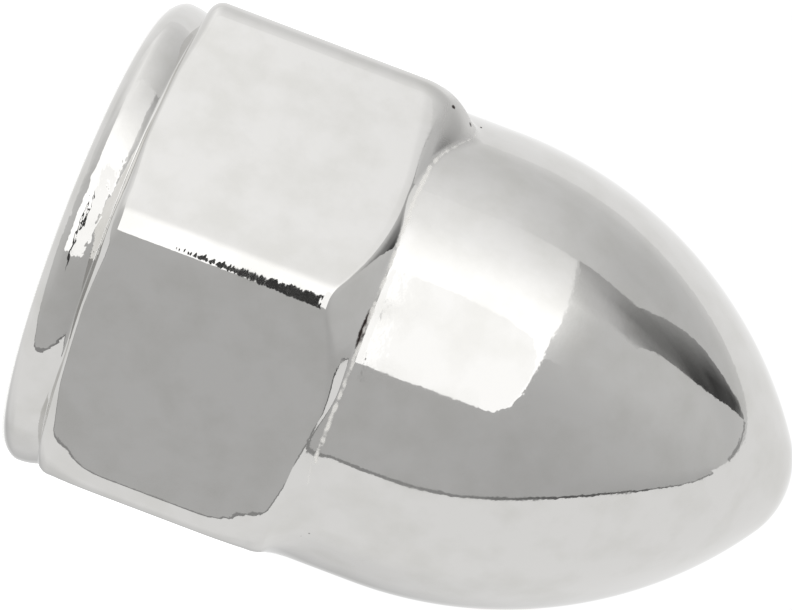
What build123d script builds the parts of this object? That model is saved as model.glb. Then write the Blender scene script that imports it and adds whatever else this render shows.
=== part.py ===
from build123d import *
import math
import os

# Cap nut with a plain locating collar, a chamfered wrenching hexagon and a bullet-shaped crown
# closed at the nose. The seat lies on z = 0 and the thread axis is Z, with the nose on +Z.
# Two corners of the hexagon lie on the Y axis and two flats face along X. Millimetres.

# Whole nut
OVERALL_HEIGHT = 22.0
SEAT_RADIUS = 6.72

# Locating collar under the hexagon, fullest just above the seat and drawn in towards the hexagon
COLLAR_RADIUS = 7.20
COLLAR_SWELL_HEIGHT = 0.46
COLLAR_TOP_RADIUS = 7.02
COLLAR_HEIGHT = 1.26
COLLAR_EDGE_BULGE = 0.10
COLLAR_WALL_BULGE = 0.05

# Wrenching hexagon: 9/16 inch across flats, its edges rolled over by polishing
ACROSS_FLATS = 14.2875
HEX_CORNER_RADIUS = 1.08
HEX_TOP = 8.70
LOWER_CHAMFER_ANGLE = 7.0
LOWER_EDGE_RADIUS = 0.45
UPPER_CHAMFER_ANGLE = 41.0
UPPER_EDGE_RADIUS = 0.90

# Depth by which the collar and the crown run on inside the hexagon, and its chamfers inside them
INSIDE_RUN = 0.40
CHAMFER_INSIDE_RUN = 0.82

# Crown: a short straight barrel, a long flank arc and a blunt nose
CROWN_RADIUS = 7.08
BARREL_LENGTH = 2.17
FLANK_SWEEP = 55.0

# Blind hole for a 3/8-16 thread: bored at its tapping drill size, the thread itself is left out
TAP_DRILL_RADIUS = 3.97
DRILL_DEPTH = 13.5
DRILL_POINT_ANGLE = 118.0
COUNTERSINK_RADIUS = 4.95
COUNTERSINK_ANGLE = 90.0

# Heights and radii that follow from the sizes above
hex_reach = ACROSS_FLATS / math.sqrt(3) + 1
lower_rise = math.tan(math.radians(LOWER_CHAMFER_ANGLE))
upper_rise = math.tan(math.radians(UPPER_CHAMFER_ANGLE))
chamfer_root_radius = min(COLLAR_TOP_RADIUS, CROWN_RADIUS) - CHAMFER_INSIDE_RUN
lower_chamfer_foot = COLLAR_HEIGHT - (COLLAR_TOP_RADIUS - chamfer_root_radius) * lower_rise
lower_chamfer_top = COLLAR_HEIGHT + (hex_reach - COLLAR_TOP_RADIUS) * lower_rise
upper_chamfer_foot = HEX_TOP - (hex_reach - CROWN_RADIUS) * upper_rise
upper_chamfer_top = HEX_TOP + (CROWN_RADIUS - chamfer_root_radius) * upper_rise
hexagon_middle = (COLLAR_HEIGHT + HEX_TOP) / 2
collar_end = COLLAR_HEIGHT + INSIDE_RUN
crown_foot = HEX_TOP - INSIDE_RUN
barrel_top = HEX_TOP + BARREL_LENGTH

# The flank arc leaves the barrel straight on and runs into the nose without an edge
flank_rise = math.sin(math.radians(FLANK_SWEEP))
flank_run = 1 - math.cos(math.radians(FLANK_SWEEP))
nose_share = (1 - flank_rise) / (1 - flank_run)
flank_radius = (OVERALL_HEIGHT - barrel_top - CROWN_RADIUS * nose_share) / (flank_rise - nose_share * flank_run)
nose_radius = (CROWN_RADIUS - flank_radius * flank_run) / (1 - flank_run)
nose_centre_height = OVERALL_HEIGHT - nose_radius

# Hole
drill_point_height = TAP_DRILL_RADIUS / math.tan(math.radians(DRILL_POINT_ANGLE / 2))
countersink_depth = (COUNTERSINK_RADIUS - TAP_DRILL_RADIUS) / math.tan(math.radians(COUNTERSINK_ANGLE / 2))

with BuildPart() as cap_nut:
    # Hexagon with rounded corners
    with BuildSketch(Plane.XY.offset(lower_chamfer_foot)):
        hexagon = RegularPolygon(radius=ACROSS_FLATS / 2, side_count=6, major_radius=False, rotation=30)
        fillet(hexagon.vertices(), HEX_CORNER_RADIUS)
    extrude(amount=upper_chamfer_top - lower_chamfer_foot)

    # Chamfers turned on both ends of the hexagon, their edges softened by polishing
    with BuildSketch(Plane.XZ):
        with BuildLine():
            Polyline(
                (0, lower_chamfer_foot),
                (chamfer_root_radius, lower_chamfer_foot),
                (hex_reach, lower_chamfer_top),
                (hex_reach, upper_chamfer_foot),
                (chamfer_root_radius, upper_chamfer_top),
                (0, upper_chamfer_top),
                close=True,
            )
        make_face()
    revolve(axis=Axis.Z, mode=Mode.INTERSECT)
    turned_edges = cap_nut.edges().filter_by(GeomType.HYPERBOLA) + cap_nut.edges().filter_by(GeomType.BSPLINE)
    fillet(turned_edges.filter_by(lambda edge: edge.center().Z < hexagon_middle), LOWER_EDGE_RADIUS)
    turned_edges = cap_nut.edges().filter_by(GeomType.HYPERBOLA) + cap_nut.edges().filter_by(GeomType.BSPLINE)
    fillet(turned_edges.filter_by(lambda edge: edge.center().Z > hexagon_middle), UPPER_EDGE_RADIUS)

    # Collar below the hexagon
    with BuildSketch(Plane.XZ):
        with BuildLine():
            Line((0, 0), (SEAT_RADIUS, 0))
            SagittaArc((SEAT_RADIUS, 0), (COLLAR_RADIUS, COLLAR_SWELL_HEIGHT), -COLLAR_EDGE_BULGE)
            SagittaArc((COLLAR_RADIUS, COLLAR_SWELL_HEIGHT), (COLLAR_TOP_RADIUS, COLLAR_HEIGHT), -COLLAR_WALL_BULGE)
            Polyline((COLLAR_TOP_RADIUS, COLLAR_HEIGHT), (COLLAR_TOP_RADIUS, collar_end), (0, collar_end), (0, 0))
        make_face()
    revolve(axis=Axis.Z)

    # Crown above the hexagon, closed at the nose
    with BuildSketch(Plane.XZ):
        with BuildLine():
            Polyline((0, OVERALL_HEIGHT), (0, crown_foot), (CROWN_RADIUS, crown_foot), (CROWN_RADIUS, barrel_top))
            CenterArc((CROWN_RADIUS - flank_radius, barrel_top), flank_radius, 0, FLANK_SWEEP)
            CenterArc((0, nose_centre_height), nose_radius, FLANK_SWEEP, 90 - FLANK_SWEEP)
        make_face()
    revolve(axis=Axis.Z)

    # Blind hole with its drill point and a countersunk mouth
    with BuildSketch(Plane.XZ):
        with BuildLine():
            Polyline(
                (0, 0),
                (COUNTERSINK_RADIUS, 0),
                (TAP_DRILL_RADIUS, countersink_depth),
                (TAP_DRILL_RADIUS, DRILL_DEPTH),
                (0, DRILL_DEPTH + drill_point_height),
                close=True,
            )
        make_face()
    revolve(axis=Axis.Z, mode=Mode.SUBTRACT)

os.makedirs("parts", exist_ok=True)
cap_nut.part.label = "cap_nut"
export_step(cap_nut.part, "parts/cap_nut.step")
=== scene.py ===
"""Cap nut in bright chrome, standing on its seat inside a soft light tent.

The nut is one closed surface: a seat and locating collar, a hexagon with turned chamfers, a bullet crown,
and inside it a countersunk blind hole with its thread cut in. Sizes are in millimetres until a mesh is made.
"""
import logging
import math
from dataclasses import dataclass
from enum import Enum
from typing import Sequence

import bpy
import numpy as np
from mathutils import Matrix, Vector


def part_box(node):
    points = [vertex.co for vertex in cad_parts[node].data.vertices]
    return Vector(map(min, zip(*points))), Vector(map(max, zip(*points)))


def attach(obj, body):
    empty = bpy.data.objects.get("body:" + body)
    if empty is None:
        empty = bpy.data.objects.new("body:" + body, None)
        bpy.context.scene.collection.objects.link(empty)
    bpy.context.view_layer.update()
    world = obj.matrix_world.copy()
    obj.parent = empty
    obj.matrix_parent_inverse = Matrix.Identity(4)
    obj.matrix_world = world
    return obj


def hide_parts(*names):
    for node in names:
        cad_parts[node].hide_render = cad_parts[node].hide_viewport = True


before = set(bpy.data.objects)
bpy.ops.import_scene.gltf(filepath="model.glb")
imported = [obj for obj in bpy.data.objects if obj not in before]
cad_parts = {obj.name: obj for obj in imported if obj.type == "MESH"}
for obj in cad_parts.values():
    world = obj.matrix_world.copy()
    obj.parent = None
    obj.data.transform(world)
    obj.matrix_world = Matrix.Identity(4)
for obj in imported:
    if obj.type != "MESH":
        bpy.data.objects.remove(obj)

log = logging.getLogger("cap_nut")

MM = 0.001
SHARP_EDGE_ANGLE = 38.0


class Ray(Enum):
    """Who can see a stage piece."""

    REFLECTIONS = "reflections"
    ALL_BUT_REFLECTIONS = "all but reflections"


def linear_colour(hex_code: str) -> tuple[float, float, float, float]:
    """Turn an sRGB hex colour into linear light.

    Args:
        hex_code: six hexadecimal digits, with or without a leading #.

    Returns:
        Linear red, green, blue and an alpha of 1.
    """
    digits = hex_code.lstrip("#")
    channels = [int(digits[i : i + 2], 16) / 255 for i in (0, 2, 4)]
    linear = [c / 12.92 if c <= 0.04045 else ((c + 0.055) / 1.055) ** 2.4 for c in channels]
    return (linear[0], linear[1], linear[2], 1.0)


def add_node(
    tree: bpy.types.NodeTree, kind: str, settings: dict | None = None, sockets: dict | None = None
) -> bpy.types.Node:
    """Add one node, with its settings, its socket values and the links into it.

    Args:
        tree: the node tree that takes the node.
        kind: Blender's type name of the node, without the ShaderNode that they all start with.
        settings: property names and their values.
        sockets: input names or numbers, each with a value, or with an output socket to link from.

    Returns:
        The new node.
    """
    node = tree.nodes.new("ShaderNode" + kind)
    for name, value in (settings or {}).items():
        setattr(node, name, value)
    for name, value in (sockets or {}).items():
        if isinstance(value, bpy.types.NodeSocket):
            tree.links.new(value, node.inputs[name])
        else:
            node.inputs[name].default_value = value
    return node


def new_material(name: str) -> tuple[bpy.types.Material, bpy.types.NodeTree]:
    """Make an empty node material.

    Args:
        name: the material's name.

    Returns:
        The material and its cleared node tree.
    """
    material = bpy.data.materials.new(name)
    material.use_nodes = True
    material.node_tree.nodes.clear()
    return material, material.node_tree


def mesh_object(
    name: str, points: np.ndarray, faces: Sequence[Sequence[int]], smooth: bool = True
) -> bpy.types.Object:
    """Make a mesh object from points in metres.

    Args:
        name: the object's name.
        points: the vertices, one row each.
        faces: vertex numbers of each face, counter-clockwise from outside.
        smooth: whether the faces are shaded smooth.

    Returns:
        The object, linked to the scene.
    """
    mesh = bpy.data.meshes.new(name)
    mesh.from_pydata(points.tolist(), [], faces)
    mesh.validate()
    if smooth:
        mesh.shade_smooth()
        mesh.set_sharp_from_angle(angle=math.radians(SHARP_EDGE_ANGLE))
    else:
        mesh.shade_flat()
    mesh.update()
    piece = bpy.data.objects.new(name, mesh)
    bpy.context.scene.collection.objects.link(piece)
    return piece


@dataclass(frozen=True)
class Mark:
    """A small dark spot in the undercoat's colour: five pits in the plating, and a dark line across the near
    ridge's upper end.

    Attributes:
        place_mm: its middle on the nut, in millimetres.
        reach_mm: how far it runs along X, Y and Z.
    """

    place_mm: tuple[float, float, float]
    reach_mm: tuple[float, float, float]


@dataclass(frozen=True)
class PlatedChrome:
    """Decorative chrome over polished steel, as a buffing wheel and a plating bath leave it.

    The eye gets a near-mirror with a faint warm grey. Its reflections waver a little because buffing leaves
    the steel slightly uneven, their outlines are ragged on the scale of the nickel's grain, and along the
    worn ridges small nicks break them up. A few pits show the dull undercoat, a dark line crosses the near
    ridge's upper end, a pale matt ring painted in the neck stands in for a highlight there, and one worn
    corner has gone hazy.

    Attributes:
        tint: the plating's colour, which varies towards clouded_tint.
        undercoat: the dark colour of the pits and of the line across the near ridge's upper end.
        painted_neck_highlight: pale matt colour painted round the neck as a highlight line.
        roughness: of the clear plating; haze adds to it in the clouds and dulled where flaws lie.
        cloud_edge: noise values between which a cloud fades in; painted_highlight_edge does so for the
            painted highlight, and torn_edge is where a mark fades out.
        painted_highlight_cover: the most that the painted highlight hides of the chrome.
    """

    tint: str = "#D1D0CE"
    clouded_tint: str = "#CBCAC7"
    undercoat: str = "#3A3230"
    # Pale matt colour painted round the neck, standing in for a highlight line
    painted_neck_highlight: str = "#CDCBC7"
    roughness: float = 0.03
    haze: float = 0.03
    dulled: float = 0.4
    cloud_mm: float = 1.2
    cloud_edge: tuple[float, float] = (0.42, 0.68)
    wave_mm: float = 3.2
    wave_depth_mm: float = 0.004
    peel_mm: float = 0.55
    peel_depth_mm: float = 0.0011
    grain_mm: float = 0.16
    grain_depth_mm: float = 0.0007
    nick_mm: tuple[float, float, float] = (0.42, 0.42, 0.26)
    nick_depth_mm: float = 0.034
    torn_mm: float = 0.12
    torn_edge: tuple[float, float] = (1.15, 1.55)
    painted_highlight_mm: float = 0.2
    painted_highlight_edge: tuple[float, float] = (0.26, 0.46)
    painted_highlight_cover: float = 0.8
    marks: tuple[Mark, ...] = (
        Mark((-6.57, -4.17, 8.79), (0.08, 0.08, 0.07)),
        Mark((-6.35, -3.66, 9.41), (0.09, 0.09, 0.07)),
        Mark((-6.49, -2.83, 9.73), (0.06, 0.08, 0.04)),
        Mark((6.12, -3.56, 9.02), (0.10, 0.12, 0.11)),
        Mark((6.02, -3.72, 9.24), (0.06, 0.10, 0.05)),
        # A dark purple-black line across the upper end of the near ridge
        Mark((0.36, -7.13, 8.66), (0.62, 0.20, 0.09)),
    )

    def relief(self, tree: bpy.types.NodeTree, place: bpy.types.NodeSocket) -> bpy.types.NodeSocket:
        """Height of the surface in metres: the buffing waves, the peel, the grain and the nicks.

        Args:
            tree: the material's node tree.
            place: object coordinates.

        Returns:
            The socket that carries the height.
        """
        stretch = tuple(1 / (size * MM) for size in self.nick_mm)
        stretched = add_node(tree, "VectorMath", {"operation": "MULTIPLY"}, {0: place, 1: stretch})
        nicks = add_node(tree, "TexNoise", {}, {"Vector": stretched.outputs[0], "Scale": 1.0, "Detail": 2.0})
        wear = add_node(tree, "Attribute", {"attribute_name": "wear"}).outputs["Fac"]
        worn = add_node(tree, "Math", {"operation": "MULTIPLY"}, {0: nicks.outputs[0], 1: wear}).outputs[0]
        total = add_node(tree, "Math", {"operation": "MULTIPLY"}, {0: worn, 1: self.nick_depth_mm * MM})
        for size, depth in (
            (self.wave_mm, self.wave_depth_mm),
            (self.peel_mm, self.peel_depth_mm),
            (self.grain_mm, self.grain_depth_mm),
        ):
            noise = add_node(tree, "TexNoise", {}, {"Vector": place, "Scale": 1 / (size * MM), "Detail": 1.0})
            total = add_node(
                tree,
                "Math",
                {"operation": "MULTIPLY_ADD"},
                {0: noise.outputs[0], 1: depth * MM, 2: total.outputs[0]},
            )
        return total.outputs[0]

    def dark_marks(self, tree: bpy.types.NodeTree, place: bpy.types.NodeSocket) -> bpy.types.NodeSocket:
        """Where the undercoat colour is laid on, 0 to 1: the pits and the dark line at the near ridge's end.

        Args:
            tree: the material's node tree.
            place: object coordinates.

        Returns:
            The socket that carries the mask.
        """
        scale = 1 / (self.torn_mm * MM)
        ragged = add_node(tree, "TexNoise", {}, {"Vector": place, "Scale": scale, "Detail": 2.0})
        edge = {"From Min": self.torn_edge[0], "From Max": self.torn_edge[1], "To Min": 1.0, "To Max": 0.0}
        shown: bpy.types.NodeSocket | float = 0.0
        for mark in self.marks:
            middle = tuple(c * MM for c in mark.place_mm)
            reach = tuple(c * MM for c in mark.reach_mm)
            offset = add_node(tree, "VectorMath", {"operation": "SUBTRACT"}, {0: place, 1: middle})
            scaled = add_node(tree, "VectorMath", {"operation": "DIVIDE"}, {0: offset.outputs[0], 1: reach})
            away = add_node(tree, "VectorMath", {"operation": "LENGTH"}, {0: scaled.outputs[0]})
            distance = away.outputs["Value"]
            torn = add_node(tree, "Math", {"operation": "ADD"}, {0: distance, 1: ragged.outputs[0]})
            mask = add_node(tree, "MapRange", {}, {"Value": torn.outputs[0], **edge}).outputs[0]
            shown = add_node(tree, "Math", {"operation": "MAXIMUM"}, {0: shown, 1: mask}).outputs[0]
        return shown

    def painted_highlight_mask(self, tree: bpy.types.NodeTree, place: bpy.types.NodeSocket) -> bpy.types.NodeSocket:
        """Where a pale matt colour is painted round the neck as a highlight, 0 to 1.

        Args:
            tree: the material's node tree.
            place: object coordinates.

        Returns:
            The socket that carries the mask.
        """
        scale = 1 / (self.painted_highlight_mm * MM)
        grains = add_node(tree, "TexNoise", {}, {"Vector": place, "Scale": scale, "Detail": 3.0}).outputs[0]
        # A band round the neck where a pale matt highlight is painted
        painted_highlight_band = add_node(tree, "Attribute", {"attribute_name": "painted_highlight_band"}).outputs["Fac"]
        ragged_highlight = add_node(tree, "Math", {"operation": "MULTIPLY"}, {0: grains, 1: painted_highlight_band}).outputs[0]
        low, high = self.painted_highlight_edge
        edge = {"From Min": low, "From Max": high, "To Max": self.painted_highlight_cover}
        return add_node(tree, "MapRange", {}, {"Value": ragged_highlight, **edge}).outputs[0]

    def material(self) -> bpy.types.Material:
        """Build the node material.

        Returns:
            The finished material.
        """
        material, tree = new_material("bright_chrome_plated_steel")
        place = add_node(tree, "TexCoord").outputs["Object"]
        relief = self.relief(tree, place)
        bump = add_node(tree, "Bump", {}, {"Height": relief, "Strength": 1.0, "Distance": 1.0})
        scale = 1 / (self.cloud_mm * MM)
        clouds = add_node(tree, "TexNoise", {}, {"Vector": place, "Scale": scale, "Detail": 5.0}).outputs[0]
        edge = {"From Min": self.cloud_edge[0], "From Max": self.cloud_edge[1]}
        clouded = add_node(tree, "MapRange", {}, {"Value": clouds, **edge}).outputs[0]
        dark_marks = self.dark_marks(tree, place)
        painted_neck_highlight = self.painted_highlight_mask(tree, place)
        colour: bpy.types.NodeSocket | tuple = linear_colour(self.tint)
        # The last mix paints a pale matt ring in the neck as a highlight
        for share, shade in (
            (clouded, self.clouded_tint),
            (dark_marks, self.undercoat),
            (painted_neck_highlight, self.painted_neck_highlight),
        ):
            mix = add_node(tree, "Mix", {"data_type": "RGBA"}, {0: share, 6: colour, 7: linear_colour(shade)})
            colour = mix.outputs[2]
        haze = add_node(tree, "Attribute", {"attribute_name": "haze"}).outputs["Fac"]
        dull = add_node(tree, "Math", {"operation": "MAXIMUM"}, {0: dark_marks, 1: painted_neck_highlight}).outputs[0]
        dull = add_node(tree, "Math", {"operation": "MAXIMUM"}, {0: dull, 1: haze}).outputs[0]
        hazes = {"To Min": self.roughness, "To Max": self.roughness + self.haze}
        clear = add_node(tree, "MapRange", {}, {"Value": clouded, **hazes}).outputs[0]
        roughness = add_node(tree, "Math", {"operation": "MULTIPLY_ADD"}, {0: dull, 1: self.dulled, 2: clear})
        metallic = add_node(tree, "Math", {"operation": "SUBTRACT"}, {0: 1.0, 1: painted_neck_highlight})
        surface = {
            "Base Color": colour,
            "Metallic": metallic.outputs[0],
            "Roughness": roughness.outputs[0],
            "Normal": bump.outputs["Normal"],
        }
        shader = add_node(tree, "BsdfPrincipled", {}, surface)
        add_node(tree, "OutputMaterial", {}, {"Surface": shader.outputs["BSDF"]})
        return material


def bend(start: np.ndarray, corner: np.ndarray, end: np.ndarray, rows: int) -> list[np.ndarray]:
    """Run rows of points round a corner, along the curve that touches both of its sides.

    Args:
        start: where the curve leaves the first side, one point per column.
        corner: the sharp corner that it replaces.
        end: where it meets the second side.
        rows: how many rows, the ends left out.

    Returns:
        The rows.
    """
    shares = np.linspace(0, 1, rows + 2)[1:-1]
    return [(1 - s) ** 2 * start + 2 * s * (1 - s) * corner + s * s * end for s in shares]


def straight(start: np.ndarray, end: np.ndarray, rows: int, support: float = 0.06) -> list[np.ndarray]:
    """Run rows along a straight stretch, one close to each end so that it stays straight in the shading.

    Args:
        start: where the stretch starts, one point per column.
        end: where it ends.
        rows: how many rows, the ends left out.
        support: how near the first and last rows lie to the ends, as a share of the stretch.

    Returns:
        The rows.
    """
    return [start + (end - start) * s for s in np.linspace(support, 1 - support, rows)]


def fade(values: np.ndarray, start: float, end: float) -> np.ndarray:
    """Share from 0 to 1 of the way from start to end, held at both ends.

    Args:
        values: the values to place.
        start: where the share is 0.
        end: where it is 1, above or below start.

    Returns:
        One share per value.
    """
    return np.clip((values - start) / (end - start), 0, 1)


def closeness(angles: np.ndarray, middle: float, spread: float) -> np.ndarray:
    """How near each column is to a place round the axis, from 0 to 1.

    Args:
        angles: the columns' angles in radians.
        middle: the place, in degrees.
        spread: how far the nearness reaches, in degrees.

    Returns:
        One share per column.
    """
    away = (np.degrees(angles) - middle + 180) % 360 - 180
    return np.exp(-((away / spread) ** 2))


def from_ridge(angles: np.ndarray) -> np.ndarray:
    """How far each column is from the nearest ridge of the hexagon.

    Args:
        angles: the columns' angles in radians.

    Returns:
        One angle per column, in degrees.
    """
    return np.degrees(np.abs(angles % (math.pi / 3) - math.pi / 6))


@dataclass(frozen=True)
class RowCounts:
    """How finely each stretch of the nut's section is drawn, from the seat up to the nose."""

    seat: int = 4
    collar_edge: int = 13
    collar_wall: int = 9
    groove: int = 3
    lower_edge: int = 20
    wall: int = 21
    upper_edge: int = 24
    neck: int = 7
    barrel: int = 7
    flank: int = 64
    nose: int = 20
    thread: int = 134


@dataclass
class CapNut:
    """The nut as one turned and milled solid.

    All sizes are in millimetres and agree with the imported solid, apart from the thread, which only this
    piece carries, and what polishing and wear have done: the near corner is crisp at the neck, the far one is
    blunted at both ends with its grooves filled, and the worn one is rounded off and hazy. Corners are named
    by their angle round the axis in degrees, a slope is added to the upper chamfer's, a spread is in degrees.
    """

    height: float = 22.0
    seat_radius: float = 6.72
    collar_radius: float = 7.20
    collar_swell: float = 0.46
    collar_top_radius: float = 7.02
    collar_height: float = 1.26
    collar_edge_bulge: float = 0.10
    collar_wall_bulge: float = 0.05
    across_flats: float = 14.2875
    corner_rounding: float = 1.08
    hex_top: float = 8.70
    lower_chamfer: float = 7.0
    upper_chamfer: float = 41.0
    lower_edge_rounding: float = 0.45
    upper_edge_rounding: float = 0.90
    lower_edge_thinned: float = 0.5
    lower_edge_fade: tuple[float, float] = (8.0, 20.0)
    slope_spread: float = 22.0
    near_corner: float = -90.0
    near_corner_slope: float = 7.0
    near_corner_sharpness: float = 0.6
    near_corner_spread: float = 14.0
    far_corner: float = -30.0
    far_corner_slope: float = -12.0
    far_corner_rounding: float = 1.2
    far_corner_reach: float = 1.8
    far_corner_spread: float = 20.0
    far_corner_fill: float = 0.75
    far_corner_fill_spread: float = 24.0
    far_corner_fill_below: float = 0.4
    far_corner_fill_above: float = 0.5
    worn_corner: float = -150.0
    worn_corner_rounding: float = 1.3
    worn_corner_rise: float = 0.90
    worn_corner_spread: float = 12.0
    worn_corner_fill: float = 0.2
    neck_lean: float = 0.03
    collar_groove: float = 0.05
    neck_groove: float = 0.12
    crown_radius: float = 7.08
    barrel_length: float = 2.17
    flank_sweep: float = 55.0
    mouth_radius: float = 4.95
    bore_radius: float = 3.97
    thread_major_radius: float = 4.7625
    thread_pitch: float = 25.4 / 16
    thread_start: float = 0.35
    thread_end: float = 12.2
    thread_run_in: float = 0.8
    thread_runout: float = 0.9
    bore_depth: float = 13.5
    drill_point: float = 118.0
    corner_columns: int = 12
    flat_columns: int = 26
    rows: RowCounts = RowCounts()
    ridge_wear: float = 0.12
    ridge_wear_from: tuple[float, float] = (2.3, 3.1)
    ridge_wear_to: tuple[float, float] = (8.3, 8.0)
    ridge_wear_spread: float = 3.0
    collar_wear: float = 0.10
    collar_wear_from: tuple[float, float] = (0.15, 0.30)
    collar_wear_to: tuple[float, float] = (1.30, 1.20)
    collar_knock: float = -93.0
    collar_knock_spread: float = 9.0
    neck_wear: float = 0.02
    neck_wear_rise: float = 0.05
    neck_wear_width: float = 0.15
    # Width of the band where a highlight is painted round the neck
    painted_highlight_band_width: float = 0.09
    haze_from: tuple[float, float] = (8.3, 8.8)
    haze_depth: float = 0.08
    haze_spread: float = 14.0
    finish: PlatedChrome = PlatedChrome()

    def corner_half_angle(self, rounding: float | np.ndarray) -> float | np.ndarray:
        """Half the angle that a rounded corner takes up, seen from the axis.

        Args:
            rounding: radius of the corner, in millimetres.

        Returns:
            The angle in radians.
        """
        flat = self.across_flats / 2
        return math.pi / 6 - np.arctan((flat - rounding) * math.tan(math.pi / 6) / flat)

    def column_angles(self) -> np.ndarray:
        """Angles of the columns round the axis, close together at the corners, which lie on the Y axis.

        Returns:
            Rising angles in radians over one full turn.
        """
        half = float(self.corner_half_angle(self.corner_rounding))
        corner = np.linspace(-half, half, self.corner_columns, endpoint=False)
        flat_span = math.pi / 3 - 2 * half
        # Two more columns beside each corner keep its shading off the flat
        shares = [0.0, 0.012, *np.linspace(0.03, 0.97, self.flat_columns - 3), 0.988]
        flat = half + flat_span * np.array(shares)
        sector = np.concatenate([corner, flat])
        return np.concatenate([math.pi / 6 + k * math.pi / 3 + sector for k in range(6)])

    def hexagon_radius(self, angles: np.ndarray, rounding: float | np.ndarray) -> np.ndarray:
        """Distance from the axis to the hexagon's wall.

        Args:
            angles: angles round the axis in radians, with flats facing along X.
            rounding: radius of the corners, in millimetres.

        Returns:
            The distance for each angle, in millimetres.
        """
        flat = self.across_flats / 2
        off_flat = np.abs((angles + math.pi / 6) % (math.pi / 3) - math.pi / 6)
        off_corner = math.pi / 6 - off_flat
        centre = (flat - rounding) / math.cos(math.pi / 6)
        inside = np.clip(rounding**2 - (centre * np.sin(off_corner)) ** 2, 0, None)
        rounded = centre * np.cos(off_corner) + np.sqrt(inside)
        return np.where(off_corner < self.corner_half_angle(rounding), rounded, flat / np.cos(off_flat))

    def corner_rounding_at(self, angles: np.ndarray, share: float | np.ndarray) -> np.ndarray:
        """Radius of the hexagon's ridges, one of which is blunted at both ends.

        Args:
            angles: the columns' angles in radians.
            share: how far up the wall, from 0 to 1.

        Returns:
            The radius for each column, in millimetres.
        """
        from_end = np.minimum(share, 1 - share) * (self.hex_top - self.collar_height)
        blunted = np.clip(1 - from_end / self.far_corner_reach, 0, 1) ** 2 * self.far_corner_rounding
        return self.corner_rounding + blunted * closeness(angles, self.far_corner, self.far_corner_spread)

    def neck_height(self, angles: np.ndarray) -> np.ndarray:
        """Height at which the hexagon's chamfer meets the crown.

        Args:
            angles: the columns' angles in radians.

        Returns:
            The height for each column, in millimetres.
        """
        worn = closeness(angles, self.worn_corner, self.worn_corner_spread)
        return self.hex_top - self.neck_lean * np.cos(angles) + self.worn_corner_rise * worn

    def wall_rows(self, angles: np.ndarray, low: np.ndarray, high: np.ndarray, rows: int) -> list[np.ndarray]:
        """Rows up the hexagon's wall.

        Args:
            angles: the columns' angles in radians.
            low: radius and height where the wall starts, one point per column.
            high: where it ends.
            rows: how many rows, the ends left out.

        Returns:
            The rows.
        """
        wall = []
        for row in straight(low, high, rows, support=0.02):
            share = (row[:, 1] - low[:, 1]) / (high[:, 1] - low[:, 1])
            radius = self.hexagon_radius(angles, self.corner_rounding_at(angles, share))
            wall.append(np.stack([radius, row[:, 1]], axis=1))
        return wall

    @staticmethod
    def sagitta_arc(
        start: tuple[float, float], end: tuple[float, float], bulge: float, rows: int
    ) -> list[tuple[float, float]]:
        """Points of an arc that bulges away from the axis.

        Args:
            start: radius and height of the lower end.
            end: radius and height of the upper end.
            bulge: how far the arc stands off its chord.
            rows: how many points, both ends included.

        Returns:
            Radius and height of each point.
        """
        low, high = Vector(start), Vector(end)
        chord = high - low
        outward = Vector((chord.y, -chord.x)).normalized()
        radius = (chord.length**2 / 4 + bulge**2) / (2 * bulge)
        centre = (low + high) / 2 - outward * (radius - bulge)
        half = math.asin(chord.length / 2 / radius)
        lean = math.atan2(outward.y, outward.x)
        return [
            (centre.x + radius * math.cos(lean + t), centre.y + radius * math.sin(lean + t))
            for t in np.linspace(-half, half, rows)
        ]

    def crown_arcs(self, flank_rows: int, nose_rows: int) -> list[tuple[float, float]]:
        """Points of the crown above its barrel, down to just short of the pole.

        Args:
            flank_rows: points along the flank arc.
            nose_rows: points along the blunt nose.

        Returns:
            Radius and height of each point.
        """
        barrel_top = self.hex_top + self.barrel_length
        sweep = math.radians(self.flank_sweep)
        rise, run = math.sin(sweep), 1 - math.cos(sweep)
        share = (1 - rise) / (1 - run)
        flank = (self.height - barrel_top - self.crown_radius * share) / (rise - share * run)
        nose = (self.crown_radius - flank * run) / (1 - run)
        points = [
            (self.crown_radius - flank * (1 - math.cos(t)), barrel_top + flank * math.sin(t))
            for t in np.linspace(0, sweep, flank_rows)
        ]
        points += [
            (nose * math.cos(t), self.height - nose + nose * math.sin(t))
            for t in np.linspace(sweep, math.pi / 2, nose_rows + 1)[1:-1]
        ]
        return points

    @staticmethod
    def rolled_edge(
        wall: np.ndarray, root: float, lean: np.ndarray, arc: np.ndarray, gap: float, rows: int
    ) -> np.ndarray:
        """Path from the foot of a chamfer out along it and round onto the hexagon's wall.

        The polished edge is an arc between the chamfer and the wall. Where the chamfer is too narrow for it,
        at the middle of a flat, the arc itself runs into the foot.

        Args:
            wall: distance of the wall from the axis for each column.
            root: radius at which the chamfer starts.
            lean: the chamfer's angle to the level for each column, in radians.
            arc: radius of the polished edge for each column.
            gap: length left out next to the foot, for a groove.
            rows: how many rows, the foot included.

        Returns:
            Radius and rise above the chamfer's start, as rows by columns by 2; the first row is the foot.
        """
        centre_radius = wall - arc
        centre_rise = (wall - arc - root) * np.tan(lean) + arc / np.cos(lean)

        def on_edge(turned: np.ndarray) -> np.ndarray:
            """Points of the edge's arc at an angle from the wall."""
            out, down = arc * np.cos(turned), arc * np.sin(turned)
            return np.stack([centre_radius + out, centre_rise - down], axis=1)

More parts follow.
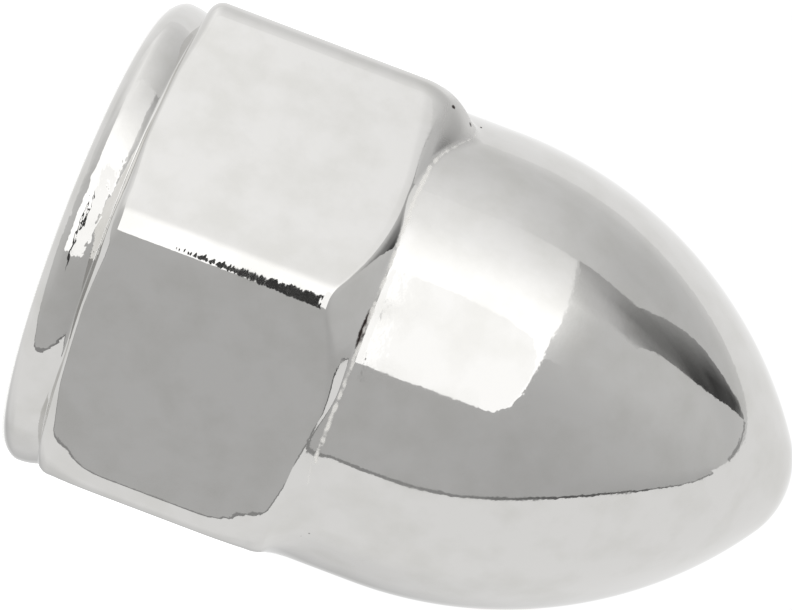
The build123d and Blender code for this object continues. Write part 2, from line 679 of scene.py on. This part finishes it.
        whole_turn = math.pi / 2 - lean
        turn = np.minimum(whole_turn, np.arccos(np.clip(1 - (wall - root) / arc, -1, 1)))
        arc_start = on_edge(turn)
        narrow = turn < whole_turn
        foot = np.where(narrow[:, None], arc_start, [[root, 0.0]])
        run = np.linalg.norm(arc_start - foot, axis=1)
        length = run + arc * turn
        path = [foot]
        for share in np.linspace(0, 1, rows - 1):
            walked = gap + (length - gap) * share
            on_run = foot + (arc_start - foot) * np.minimum(walked / np.maximum(run, 1e-9), 1)[:, None]
            on_arc = on_edge(turn - np.maximum(walked - run, 0) / arc)
            path.append(np.where((walked < run)[:, None], on_run, on_arc))
        return np.array(path)

    def outer_rows(self, angles: np.ndarray) -> np.ndarray:
        """Rows of the outside, from the mouth of the hole over the seat and up to the nose.

        Args:
            angles: the columns' angles in radians.

        Returns:
            Radius and height of each point, as rows by columns by 2.
        """
        count = len(angles)
        rows = self.rows

        def ring(radius: float, height: float) -> np.ndarray:
            """A row that is the same all the way round."""
            return np.tile([radius, height], (count, 1))

        worn = closeness(angles, self.worn_corner, self.worn_corner_spread)
        filled = self.far_corner_fill * closeness(angles, self.far_corner, self.far_corner_fill_spread)

        low_wall = self.hexagon_radius(angles, self.corner_rounding_at(angles, 0.0))
        lower_lean = np.full(count, math.radians(self.lower_chamfer))
        thinned = np.interp(from_ridge(angles), self.lower_edge_fade, (1.0, self.lower_edge_thinned))
        lower_arc = self.lower_edge_rounding * thinned
        lower_gap = self.collar_groove + self.far_corner_fill_below * filled
        lower = self.rolled_edge(
            low_wall, self.collar_top_radius, lower_lean, lower_arc, lower_gap, rows.lower_edge
        )
        lower[:, :, 1] = self.collar_height + lower[:, :, 1]

        high_wall = self.hexagon_radius(angles, self.corner_rounding_at(angles, 1.0))
        steeper = self.near_corner_slope * closeness(angles, self.near_corner, self.slope_spread)
        steeper += self.far_corner_slope * closeness(angles, self.far_corner, self.slope_spread)
        upper_lean = np.radians(self.upper_chamfer + steeper)
        crisp = closeness(angles, self.near_corner, self.near_corner_spread)
        upper_arc = self.upper_edge_rounding + self.worn_corner_rounding * worn
        upper_arc -= self.near_corner_sharpness * crisp
        upper_gap = self.neck_groove + filled + self.worn_corner_fill * worn
        upper = self.rolled_edge(
            high_wall, self.crown_radius, upper_lean, upper_arc, upper_gap, rows.upper_edge
        )
        upper[:, :, 1] = self.neck_height(angles) - upper[:, :, 1]

        swell = (self.collar_radius, self.collar_swell)
        collar_top = (self.collar_top_radius, self.collar_height)
        edge = self.sagitta_arc((self.seat_radius, 0.0), swell, self.collar_edge_bulge, rows.collar_edge)
        side = self.sagitta_arc(swell, collar_top, self.collar_wall_bulge, rows.collar_wall)
        collar = [ring(radius, height) for radius, height in edge + side[1:-1]]
        groove_start = (lower[0] + collar[-1]) / 2
        above_neck = upper_gap + self.far_corner_fill_above * filled
        barrel_foot = upper[0] + np.stack([np.zeros(count), above_neck], axis=1)
        barrel_top = ring(self.crown_radius, self.hex_top + self.barrel_length)
        seat = ring(self.mouth_radius, 0.0)

        path = [seat, *straight(seat, collar[0], rows.seat), *collar, groove_start]
        path += [*bend(groove_start, lower[0], lower[1], rows.groove), *lower[1:]]
        path += [*self.wall_rows(angles, lower[-1], upper[-1], rows.wall), *upper[:0:-1]]
        path += [*bend(upper[1], upper[0], barrel_foot, rows.neck), barrel_foot]
        path += straight(barrel_foot, barrel_top, rows.barrel)
        path += [ring(radius, height) for radius, height in self.crown_arcs(rows.flank, rows.nose)]
        return np.array(path)

    def wear(self, rows: np.ndarray, angles: np.ndarray) -> np.ndarray:
        """How nicked each point of the outside is, from 0 to 1.

        The ridges of the hexagon, the neck under the crown and the collar have caught knocks, most of them on
        one stretch of the collar.

        Args:
            rows: radius and height of the outside, as rows by columns by 2.
            angles: the columns' angles in radians.

        Returns:
            One share per point, row after row.
        """
        height = rows[:, :, 1]
        along = fade(height, *self.ridge_wear_from) * fade(height, *self.ridge_wear_to)
        near_ridge = np.exp(-((from_ridge(angles) / self.ridge_wear_spread) ** 2))
        ridge = self.ridge_wear * near_ridge[None, :] * along
        band = fade(height, *self.collar_wear_from) * fade(height, *self.collar_wear_to)
        knocked = closeness(angles, self.collar_knock, self.collar_knock_spread) + self.collar_wear
        above_neck = (height - self.hex_top - self.neck_wear_rise) / self.neck_wear_width
        neck = self.neck_wear * np.exp(-(above_neck**2))
        worst = np.maximum(np.maximum(ridge, band * knocked[None, :]), neck)
        return np.clip(worst, 0, 1).reshape(-1)

    def painted_highlight_band(self, rows: np.ndarray, angles: np.ndarray) -> np.ndarray:
        """How much painted highlight lies on each point of the outside, from 0 to 1: a band round the neck.

        Args:
            rows: radius and height of the outside, as rows by columns by 2.
            angles: the columns' angles in radians.

        Returns:
            One share per point, row after row.
        """
        above = (rows[:, :, 1] - self.neck_height(angles)[None, :]) / self.painted_highlight_band_width
        out = (rows[:, :, 0] - self.crown_radius) / self.painted_highlight_band_width
        return np.exp(-(above**2) - out**2).reshape(-1)

    def haze(self, rows: np.ndarray, angles: np.ndarray) -> np.ndarray:
        """How dull wear has left each point of the outside, from 0 to 1: only the worn corner's end.

        Args:
            rows: radius and height of the outside, as rows by columns by 2.
            angles: the columns' angles in radians.

        Returns:
            One share per point, row after row.
        """
        above = fade(rows[:, :, 1], *self.haze_from)
        out = fade(rows[:, :, 0], self.crown_radius, self.crown_radius + self.haze_depth)
        near = closeness(angles, self.worn_corner, self.haze_spread)
        return (above * out * near[None, :]).reshape(-1)

    @property
    def drill_tip(self) -> float:
        """Height of the hole's end, in millimetres."""
        return self.bore_depth + self.bore_radius / math.tan(math.radians(self.drill_point / 2))

    def inner_rows(self, angles: np.ndarray) -> np.ndarray:
        """Rows of the hole, from just inside its mouth up to just short of the drill point.

        Args:
            angles: the columns' angles in radians.

        Returns:
            Radius and height of each point, as rows by columns by 2.
        """
        depth = self.thread_major_radius - self.bore_radius
        flank = depth * math.tan(math.pi / 6)
        root_flat = self.thread_pitch / 8
        thread_top = self.thread_end + self.thread_runout
        rows = []
        for z in (*np.linspace(0.03, thread_top, self.rows.thread), self.bore_depth - 0.1):
            phase = np.abs(((z / self.thread_pitch - angles / (2 * math.pi)) % 1) - 0.5) * self.thread_pitch
            cut = depth * np.clip((root_flat / 2 + flank - phase) / flank, 0, 1)
            run_in = fade(z, self.thread_start, self.thread_start + self.thread_run_in)
            thread = self.bore_radius + cut * run_in * fade(z, thread_top, self.thread_end)
            radius = np.maximum(thread, self.mouth_radius - z)
            rows.append(np.stack([radius, np.full(len(angles), z)], axis=1))
        point = self.drill_tip - self.bore_depth
        for share in (0.0, 0.3, 0.6, 0.85):
            radius = self.bore_radius * (1 - share)
            rows.append(np.tile([radius, self.bore_depth + point * share], (len(angles), 1)))
        return np.array(rows)

    def build(self) -> bpy.types.Object:
        """Make the closed mesh and dress it.

        Returns:
            The nut's object.
        """
        angles = self.column_angles()
        outer = self.outer_rows(angles)
        inner_angles = angles[::2]
        inner = self.inner_rows(inner_angles)
        outer_points = self.place(outer, angles)
        inner_points = self.place(inner, inner_angles)
        ends = [[0, 0, self.height], [0, 0, self.drill_tip]]
        points = np.concatenate([outer_points, inner_points, ends]) * MM
        faces = self.grid_faces(len(outer), len(angles), 0, True)
        start = len(outer_points)
        faces += self.grid_faces(len(inner), len(inner_angles), start, False)
        faces += self.mouth_faces(len(angles), start)
        nose, tip = len(points) - 2, len(points) - 1
        last = (len(outer) - 1) * len(angles)
        faces += [(last + j, last + (j + 1) % len(angles), nose) for j in range(len(angles))]
        last = start + (len(inner) - 1) * len(inner_angles)
        faces += [(last + (j + 1) % len(inner_angles), last + j, tip) for j in range(len(inner_angles))]
        nut = mesh_object("chromed_cap_nut", points, faces)
        for label, measure in (("wear", self.wear), ("painted_highlight_band", self.painted_highlight_band), ("haze", self.haze)):
            values = np.zeros(len(points))
            values[:start] = measure(outer, angles)
            nut.data.attributes.new(label, "FLOAT", "POINT").data.foreach_set("value", values)
        nut.data.materials.append(self.finish.material())
        log.info("%s: %d points, %d triangles", nut.name, len(points), sum(len(f) - 2 for f in faces))
        return nut

    @staticmethod
    def place(rows: np.ndarray, angles: np.ndarray) -> np.ndarray:
        """Turn radius and height into points in space.

        Args:
            rows: radius and height, as rows by columns by 2.
            angles: the columns' angles in radians.

        Returns:
            One point per line, row after row.
        """
        x = rows[:, :, 0] * np.cos(angles)
        y = rows[:, :, 0] * np.sin(angles)
        return np.stack([x, y, rows[:, :, 1]], axis=2).reshape(-1, 3)

    @staticmethod
    def grid_faces(rows: int, columns: int, start: int, outward: bool) -> list[tuple[int, ...]]:
        """Faces of a grid that closes on itself round the axis.

        Args:
            rows: number of rows.
            columns: number of columns.
            start: number of the grid's first point.
            outward: whether the rows climb an outside wall.

        Returns:
            The faces' point numbers.
        """
        faces = []
        for i in range(rows - 1):
            for j in range(columns):
                a = start + i * columns + j
                b = start + i * columns + (j + 1) % columns
                quad = (a, b, b + columns, a + columns)
                faces.append(quad if outward else quad[::-1])
        return faces

    @staticmethod
    def mouth_faces(columns: int, inner_start: int) -> list[tuple[int, ...]]:
        """Faces that join the seat's inner ring to the hole's first ring, which has half its points.

        Args:
            columns: number of points in the outer ring.
            inner_start: number of the hole's first point.

        Returns:
            The faces' point numbers.
        """
        faces = []
        half = columns // 2
        for j in range(half):
            left, middle, right = 2 * j, 2 * j + 1, (2 * j + 2) % columns
            a, b = inner_start + j, inner_start + (j + 1) % half
            faces += [(middle, left, a), (middle, a, b), (right, middle, b)]
        return faces


@dataclass(frozen=True)
class Rib:
    """One edge-to-edge line across a tent panel.

    Turn is the angle round the nut from the camera's side, in degrees, rising towards the view's upper
    side, and rise is the angle above the seat's plane. An upright rib stands at one turn, a level rib at one
    rise.

    Attributes:
        place: the rib's turn, or its rise where it is level.
        low: where the rib starts, as a rise, or as a turn where it is level.
        high: where it ends.
        glows: brightness at even steps along the rib; 1 is white cloth.
        covers: how much of what lies behind is hidden at even steps along the rib, 0 to 1.
    """

    place: float
    low: float
    high: float
    glows: tuple[float, ...]
    covers: tuple[float, ...] = (1.0,)

    def sample(self, count: int) -> np.ndarray:
        """Place, reach, glow and cover at even steps along the rib.

        Args:
            count: how many steps.

        Returns:
            One line of four numbers per step.
        """
        share = np.linspace(0, 1, count)
        reach = self.low + (self.high - self.low) * share
        glow = np.interp(share, np.linspace(0, 1, len(self.glows)), self.glows)
        cover = np.interp(share, np.linspace(0, 1, len(self.covers)), self.covers)
        return np.stack([np.full(count, self.place), reach, glow, cover], axis=1)


@dataclass(frozen=True)
class TentPanel:
    """A curved sheet of the light tent, seen only in the chrome.

    Attributes:
        name: what the panel is.
        distance_mm: distance from the middle of the nut.
        ribs: its lines, in order.
        steps: points between neighbouring ribs, and along a rib.
        upright: whether the ribs are upright rather than level.
    """

    name: str
    distance_mm: float
    ribs: tuple[Rib, ...]
    steps: tuple[int, int] = (8, 24)
    upright: bool = True

    def build(self, view: "StudioView", centre: Vector, material: bpy.types.Material) -> bpy.types.Object:
        """Hang the panel.

        Args:
            view: gives the directions that the turn is counted from.
            centre: the middle of the nut, in metres.
            material: the glowing cloth.

        Returns:
            The panel's object.
        """
        between, along = self.steps
        lines: list[np.ndarray] = []
        for left, right in zip(self.ribs, self.ribs[1:]):
            start, end = left.sample(along), right.sample(along)
            stops = np.linspace(0, 1, between, endpoint=right is self.ribs[-1])
            lines += [start + (end - start) * s for s in stops]
        samples = np.concatenate(lines)
        turns, rises = (samples[:, 0], samples[:, 1]) if self.upright else (samples[:, 1], samples[:, 0])
        points = [centre + view.direction(t, e) * self.distance_mm * MM for t, e in zip(turns, rises)]
        faces = []
        for i in range(len(lines) - 1):
            for j in range(along - 1):
                a = i * along + j
                faces.append((a, a + 1, a + along + 1, a + along))
        panel = mesh_object(self.name, np.array([tuple(p) for p in points]), faces)
        for label, column in (("glow", 2), ("cover", 3)):
            attribute = panel.data.attributes.new(label, "FLOAT", "POINT")
            attribute.data.foreach_set("value", samples[:, column])
        panel.data.materials.append(material)
        return panel


@dataclass(frozen=True)
class StudioView:
    """Where the camera stands, and the directions that the tent is hung by.

    Attributes:
        azimuth: angle of the camera round the nut from -Y towards +X, in degrees.
        roll: how far the nut's nose points below the view's horizontal, in degrees.
        distance_mm: from the middle of the nut to the camera.
        offset_mm: how far the nut's middle lies right of and below the view's middle.
        lens_mm: focal length on a 36 mm sensor.
    """

    azimuth: float = 3.35
    roll: float = 20.74
    distance_mm: float = 73.28
    offset_mm: tuple[float, float] = (1.276, 1.573)
    lens_mm: float = 112.3

    @property
    def towards_camera(self) -> Vector:
        """Level direction from the nut to the camera."""
        turn = math.radians(self.azimuth)
        return Vector((math.sin(turn), -math.cos(turn), 0.0))

    @property
    def upper_side(self) -> Vector:
        """Level direction that lies on the view's upper side."""
        return self.towards_camera.cross(Vector((0.0, 0.0, 1.0)))

    def direction(self, turn: float, rise: float) -> Vector:
        """A direction given by its turn from the camera and its rise above the seat's plane.

        Args:
            turn: degrees round the nut from the camera towards the view's upper side.
            rise: degrees above the seat's plane.

        Returns:
            The unit direction.
        """
        t, e = math.radians(turn), math.radians(rise)
        level = self.towards_camera * math.cos(t) + self.upper_side * math.sin(t)
        return level * math.cos(e) + Vector((0.0, 0.0, math.sin(e)))

    def build(self, centre: Vector) -> bpy.types.Object:
        """Place the camera.

        Args:
            centre: the middle of the nut, in metres.

        Returns:
            The camera's object.
        """
        tilt = math.radians(self.roll)
        axis = Vector((0.0, 0.0, 1.0))
        right = axis * math.cos(tilt) + self.upper_side * math.sin(tilt)
        up = self.upper_side * math.cos(tilt) - axis * math.sin(tilt)
        back = self.towards_camera
        spot = centre + (back * self.distance_mm - right * self.offset_mm[0] + up * self.offset_mm[1]) * MM
        data = bpy.data.cameras.new("studio_camera")
        data.lens = self.lens_mm
        data.sensor_width = 36.0
        data.clip_start = 0.002
        data.clip_end = 20.0
        camera = bpy.data.objects.new("studio_camera", data)
        bpy.context.scene.collection.objects.link(camera)
        camera.matrix_world = Matrix(
            (
                (right.x, up.x, back.x, spot.x),
                (right.y, up.y, back.y, spot.y),
                (right.z, up.z, back.z, spot.z),
                (0.0, 0.0, 0.0, 1.0),
            )
        )
        bpy.context.scene.camera = camera
        return camera


@dataclass
class LightTent:
    """Plain pale table and the white tent of cloth and cards round it."""

    view: StudioView
    centre: Vector
    cloth: str = "#FFFFFF"
    table: str = "#F6F6F5"
    table_half_mm: float = 600.0
    table_roughness: float = 0.6
    table_glow: float = 0.62
    cloth_glow: float = 1.02
    panels: tuple[TentPanel, ...] = ()

    def cloth_material(self) -> bpy.types.Material:
        """Lit white cloth whose brightness and cover are carried by each panel.

        Returns:
            The material.
        """
        material, tree = new_material("lit_tent_cloth")
        glow = add_node(tree, "Attribute", {"attribute_name": "glow"}).outputs["Fac"]
        cover = add_node(tree, "Attribute", {"attribute_name": "cover"}).outputs["Fac"]
        light = add_node(tree, "Emission", {}, {"Color": linear_colour(self.cloth), "Strength": glow})
        clear = add_node(tree, "BsdfTransparent")
        mixed = add_node(tree, "MixShader", {}, {0: cover, 1: clear.outputs[0], 2: light.outputs[0]})
        add_node(tree, "OutputMaterial", {}, {"Surface": mixed.outputs[0]})
        return material

    def table_material(self) -> bpy.types.Material:
        """Opal acrylic sheet lit from below: a matt white that shadows hardly mark.

        Returns:
            The material.
        """
        material, tree = new_material("backlit_opal_acrylic")
        surface = {
            "Base Color": linear_colour(self.table),
            "Roughness": self.table_roughness,
            "Emission Color": linear_colour(self.table),
            "Emission Strength": self.table_glow,
        }
        shader = add_node(tree, "BsdfPrincipled", {}, surface)
        add_node(tree, "OutputMaterial", {}, {"Surface": shader.outputs["BSDF"]})
        return material

    @staticmethod
    def show_to(piece: bpy.types.Object, ray: Ray) -> None:
        """Choose which rays meet a stage piece.

        Args:
            piece: the stage piece.
            ray: who sees it.
        """
        if ray is Ray.REFLECTIONS:
            piece.visible_camera = False
            piece.visible_diffuse = False
            piece.visible_shadow = False
            piece.visible_transmission = False
        elif ray is Ray.ALL_BUT_REFLECTIONS:
            piece.visible_glossy = False

    def build(self) -> None:
        """Lay the table, hang the panels and light the tent."""
        half = self.table_half_mm * MM
        corners = np.array([(-half, -half, 0), (half, -half, 0), (half, half, 0), (-half, half, 0)])
        table = mesh_object("pale_table", corners, [(0, 1, 2, 3)], smooth=False)
        table.data.materials.append(self.table_material())
        self.show_to(table, Ray.ALL_BUT_REFLECTIONS)
        cloth = self.cloth_material()
        for panel in self.panels:
            piece = panel.build(self.view, self.centre, cloth)
            self.show_to(piece, Ray.REFLECTIONS)
            log.info("tent panel %s", panel.name)
        world = bpy.data.worlds.new("white_tent")
        bpy.context.scene.world = world
        world.use_nodes = True
        world.node_tree.nodes.clear()
        light = {"Color": linear_colour(self.cloth), "Strength": self.cloth_glow}
        sky = add_node(world.node_tree, "Background", {}, light)
        add_node(world.node_tree, "OutputWorld", {}, {"Surface": sky.outputs["Background"]})


def tent_panels() -> tuple[TentPanel, ...]:
    """The panels round the nut, from the outermost inwards.

    Returns:
        The room above the table, the shade where nut and table meet, the overhead window and its sheet,
        a dark drape, the edge of the white table and the camera itself.
    """
    room = TentPanel(
        "room_above_table",
        300,
        (
            Rib(-50, -90, 90, (0.75, 0.70, 0.62, 0.615, 0.57, 0.55, 0.62)),
            Rib(-30, -90, 90, (0.75, 0.72, 0.66, 0.61, 0.58, 0.63, 0.69)),
            Rib(0, -90, 90, (0.75, 0.72, 0.66, 0.62, 0.62, 0.67, 0.70)),
            Rib(30, -90, 90, (0.75, 0.74, 0.70, 0.70, 0.74, 0.75, 0.70)),
            Rib(60, -90, 90, (0.80, 0.80, 0.95, 1.04, 0.74, 0.77, 0.71)),
            Rib(76, -90, 90, (0.80, 0.90, 1.30, 1.09, 0.74, 0.76, 0.71)),
            Rib(90, -90, 90, (0.85, 0.90, 1.30, 0.96, 0.68, 0.71, 0.71)),
            Rib(105, -90, 90, (0.90, 0.90, 1.20, 0.86, 0.69, 0.70, 0.71)),
            Rib(116, -90, 90, (0.95, 0.95, 1.20, 0.86, 0.74, 0.74, 0.72)),
            Rib(124, -90, 90, (1.00, 1.00, 0.95, 0.94, 0.90, 0.80, 0.72)),
        ),
        (8, 61),
    )
    room_side = TentPanel(
        "room_beside_table",
        300,
        (
            Rib(-90, -62, -50, (0.75, 0.75)),
            Rib(-30, -62, -50, (0.61, 0.62)),
            Rib(0, -62, -50, (0.60, 0.615)),
            Rib(15, -60, -50, (0.60, 0.60)),
            Rib(26, -57, -50, (0.57, 0.575)),
            Rib(38, -53.6, -50, (0.565, 0.565)),
            Rib(51, -50.9, -50, (0.555, 0.555)),
            Rib(65, -51.3, -50, (0.56, 0.56)),
            Rib(77, -56.9, -50, (0.58, 0.59)),
            Rib(85, -62, -50, (0.60, 0.61)),
        ),
        (10, 6),
        upright=False,
    )
    shade = TentPanel(
        "shade_under_nut",
        290,
        (
            Rib(-176, -60, 34, (1.0, 0.95, 0.90, 0.95), (0.0, 0.5, 0.6, 0.0)),
            Rib(-164, -60, 34, (1.0, 0.70, 0.70, 0.95), (0.0, 0.9, 0.9, 0.0)),
            Rib(-154, -60, 34, (1.0, 0.60, 0.62, 0.95), (0.0, 1.0, 1.0, 0.0)),
            Rib(-146, -60, 34, (1.0, 0.68, 0.72, 0.95), (0.0, 1.0, 1.0, 0.0)),
            Rib(-138, -60, 34, (1.0, 0.78, 0.82, 0.95), (0.0, 1.0, 1.0, 0.0)),
            Rib(-122, -60, 34, (1.0, 0.88, 0.90, 0.95), (0.0, 1.0, 1.0, 0.0)),
            Rib(-104, -60, 34, (1.0, 0.98, 1.00, 1.00), (0.0, 0.0, 0.0, 0.0)),
        ),
        (8, 30),
    )
    window_top = ((-14.3, 19.1), (-8.6, 22.8), (-1, 24.8), (13.4, 26), (40, 26.3), (49, 25.9), (59, 24.7))
    window_glow = (*[(1.7,)] * 5, (1.62, 1.62, 1.5, 1.5), (1.36, 1.36, 1.27, 1.27))
    window = TentPanel(
        "overhead_window",
        280,
        tuple(Rib(turn, -40, top, glow) for (turn, top), glow in zip(window_top, window_glow))
        + (Rib(75, -40, 21.6, (1.27, 1.27, 1.27, 1.04, 1.02)),),
        (8, 40),
    )
    sheet_top = ((-14.3, 19.0), (-8.6, 22.5), (-1, 24.0), (6.5, 24.9), (13, 25.0), (20, 23.9), (26, 21.7))
    sheet_side = ((28.6, 14.8), (30.4, 6.2), (31.6, -0.4))
    sheet = TentPanel(
        "window_sheet",
        270,
        tuple(Rib(turn, -0.42, top, (1.52,)) for turn, top in sheet_top + sheet_side),
        (6, 12),
    )
    spill = TentPanel(
        "window_spill",
        285,
        (
            Rib(20, 24, 34, (1.1, 0.8), (0.6, 0.0)),
            Rib(35, 24, 37, (1.3, 0.8), (1.0, 0.0)),
            Rib(52, 24, 38, (1.3, 0.8), (1.0, 0.0)),
            Rib(60, 22, 32, (1.1, 0.7), (0.7, 0.0)),
            Rib(66, 20, 28, (0.9, 0.7), (0.0, 0.0)),
        ),
    )
    drape_front = TentPanel(
        "dark_drape_front",
        260,
        (
            Rib(53, 32, 46.0, (0.80, 0.66), (0.0, 0.2)),
            Rib(56, 30, 46.2, (0.80, 0.66, 0.53, 0.55), (0.0, 0.5, 1.0, 1.0)),
            Rib(62, 26, 50.0, (0.74, 0.60, 0.40, 0.28), (0.1, 0.8, 1.0, 1.0)),
            Rib(68, 24, 56.5, (0.60, 0.48, 0.28, 0.24, 0.27), (0.4, 1.0, 1.0, 1.0)),
            Rib(75.7, 22, 61.5, (0.54, 0.48, 0.30, 0.20, 0.07)),
        ),
    )
    drape_fold = TentPanel(
        "dark_drape_fold",
        260,
        (
            Rib(75.7, 38.0, 61.5, (0.34, 0.20, 0.07)),
            Rib(80.6, 40.9, 63.5, (0.40, 0.24, 0.12, 0.06)),
            Rib(86.8, 43.4, 65.3, (0.40, 0.24, 0.12, 0.08)),
            Rib(92.1, 46.3, 66.0, (0.40, 0.24, 0.06, 0.06)),
            Rib(97.9, 49.2, 66.5, (0.38, 0.18, 0.07, 0.08)),
            Rib(104.0, 54.5, 67.0, (0.30, 0.11, 0.08)),
            Rib(109.8, 59.7, 67.3, (0.20, 0.07, 0.09)),
            Rib(115.4, 61.8, 67.4, (0.30, 0.16, 0.25)),
            Rib(119.5, 65.8, 67.3, (0.45, 0.40)),
        ),
    )
    edge_rises = (-60, 0, 15, 26, 38, 51, 65, 77)
    edge_turns = (-62.2, -61.8, -60, -57, -53.6, -50.9, -51.3, -56.9)
    edge_glow = (0.40, 0.34, 0.34, 0.24, 0.15, 0.12, 0.14, 0.24)
    table_edge = TentPanel(
        "table_edge",
        255,
        tuple(
            Rib(rise, turn - 0.9, turn + 0.8, (glow,))
            for rise, turn, glow in zip(edge_rises, edge_turns, edge_glow)
        )
        + (Rib(85, -66, -60, (0.35,)),),
        (10, 3),
        upright=False,
    )
    far_edge = TentPanel(
        "far_table_edge",
        255,
        (
            Rib(67.5, 119.2, 121.0, (0.40,)),
            Rib(71, 119.0, 121.6, (0.42,)),
            Rib(77, 116.5, 120.0, (0.40,)),
            Rib(87, 108, 124.0, (0.40,)),
        ),
        (6, 3),
        upright=False,
    )
    camera = TentPanel(
        "camera_body",
        250,
        (
            Rib(-6.4, -8.0, -3.0, (0.10,)),
            Rib(-5.0, -14.0, 5.0, (0.07,)),
            Rib(-3.0, -19.5, 13.0, (0.05,)),
            Rib(-1.4, -22.0, 19.0, (0.05,)),
            Rib(-1.1, -21.0, 18.0, (0.06,)),
        ),
        (4, 8),
        upright=False,
    )
    drapes = (drape_front, drape_fold)
    return (room, room_side, shade, spill, window, sheet, *drapes, table_edge, far_edge, camera)


def main() -> None:
    """Build the nut, the tent and the camera."""
    logging.basicConfig(level=logging.INFO, format="%(name)s: %(message)s")
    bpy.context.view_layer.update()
    low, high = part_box("cap_nut")
    centre = (low + high) / 2
    centre.x = centre.y = 0.0
    nut = CapNut(height=high.z / MM).build()
    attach(nut, "root")
    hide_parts("cap_nut")
    view = StudioView()
    view.build(centre)
    LightTent(view, centre, panels=tent_panels()).build()
    scene = bpy.context.scene
    scene.view_settings.view_transform = "Standard"
    scene.view_settings.look = "None"


if __name__ == "__main__":
    main()
